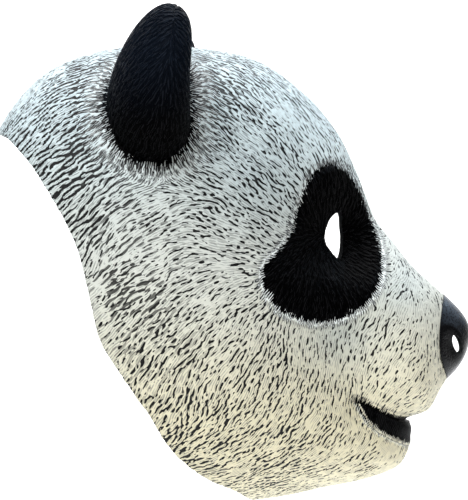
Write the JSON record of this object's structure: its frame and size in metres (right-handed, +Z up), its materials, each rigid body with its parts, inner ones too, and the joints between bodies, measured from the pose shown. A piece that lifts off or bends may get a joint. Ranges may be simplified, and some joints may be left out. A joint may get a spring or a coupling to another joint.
{
  "type": "panda mask",
  "caption": "Hollow latex mask of a panda's head with sculpted fur, round ears, dark eye patches with eye holes, a muzzle with nose and lip, and an open back.",
  "frame": {"origin": "the point inside the crown, on the mirror plane, where the wearer's head carries the mask", "axes": "+X out of the face, +Z up, Y = 0 is the mirror plane; the wearer's right is -Y"},
  "size_m": [0.3299, 0.3164, 0.3372],
  "materials": {
    "fur_white": "satin latex, painted white, cream below, with black in the fur grooves",
    "fur_black": "satin black latex with sculpted fur",
    "nose_black": "smooth glossy black latex",
    "lip_black": "smooth satin black latex"
  },
  "bodies": {
    "root": {"mask_shell": "fur_white", "ear_right": "fur_black", "ear_left": "fur_black", "eye_patch_right": "fur_black", "eye_patch_left": "fur_black", "nose": "nose_black", "lower_lip": "lip_black"}
  },
  "joints": []
}
